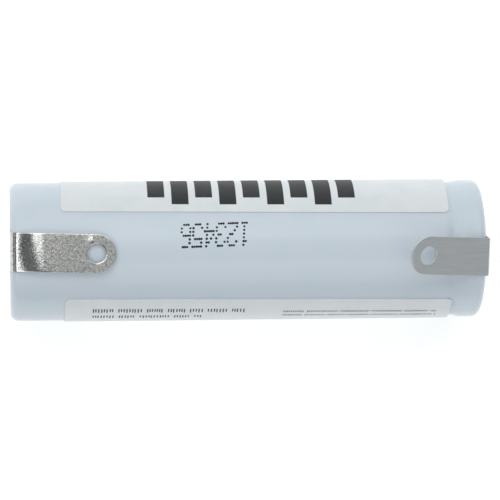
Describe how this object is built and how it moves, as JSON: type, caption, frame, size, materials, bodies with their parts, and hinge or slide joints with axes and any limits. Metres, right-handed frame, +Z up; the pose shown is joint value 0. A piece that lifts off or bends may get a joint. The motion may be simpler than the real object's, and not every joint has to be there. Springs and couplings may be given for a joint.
{
  "type": "cylindrical battery cell",
  "caption": "Rechargeable cylindrical cell in a white sleeve and wrap label, with a folded solder tag with a round eye at each end.",
  "frame": {"origin": "Under the middle of the cell's overall length, on the surface that the cell lies on, below its axis.", "axes": "+X along the cell towards its positive end, +Z up towards the side that both tags lie on, +Y across the cell."},
  "size_m": [0.0494, 0.0146, 0.019],
  "materials": {
    "sleeve": "glossy shrink film",
    "label": "satin film label",
    "can_steel": "nickel-plated, drawn",
    "cap_steel": "nickel-plated, pressed",
    "washer_card": "calendered card",
    "gasket_nylon": "moulded",
    "vent_rubber": "moulded",
    "tag_steel": "nickel-plated, rolled, grainy",
    "collector_steel": "nickel-plated, stamped",
    "positive_paste": "pasted nickel foam, matte",
    "negative_alloy": "pressed alloy powder, matte",
    "separator_felt": "non-woven felt",
    "insulator_board": "pressed board"
  },
  "bodies": {
    "cell": {"outer_sleeve": "sleeve", "wrap_label": "label", "can": "can_steel", "terminal_cap": "cap_steel", "lid_plate": "cap_steel", "insulating_washer": "washer_card", "sealing_gasket": "gasket_nylon", "positive_tag_foot": "tag_steel", "negative_tag_foot": "tag_steel", "positive_collector": "collector_steel", "collector_lead": "collector_steel", "positive_electrode": "positive_paste", "negative_electrode": "negative_alloy", "inner_separator": "separator_felt", "outer_separator": "separator_felt", "upper_insulator": "insulator_board", "bottom_insulator": "insulator_board"},
    "positive_leaf": {"positive_tag_leaf": "tag_steel"},
    "negative_leaf": {"negative_tag_leaf": "tag_steel"},
    "vent": {"vent_plug": "vent_rubber"}
  },
  "joints": [
    {"name": "positive_tag_fold", "type": "hinge", "parent": "cell", "child": "positive_leaf", "pos_m": [0.0247, -0.00096, 0.01441], "axis": [0, 0.9563, 0.2924], "range_deg": [-3, 64]},
    {"name": "negative_tag_fold", "type": "hinge", "parent": "cell", "child": "negative_leaf", "pos_m": [-0.02449, 0, 0.01427], "axis": [0, -1, 0], "range_deg": [0, 90]},
    {"name": "vent_lift", "type": "slide", "parent": "cell", "child": "vent", "axis": [1, 0, 0], "range_m": [0, 0.0002], "stiffness_N_per_m": 5, "springref_m": -0.001}
  ]
}
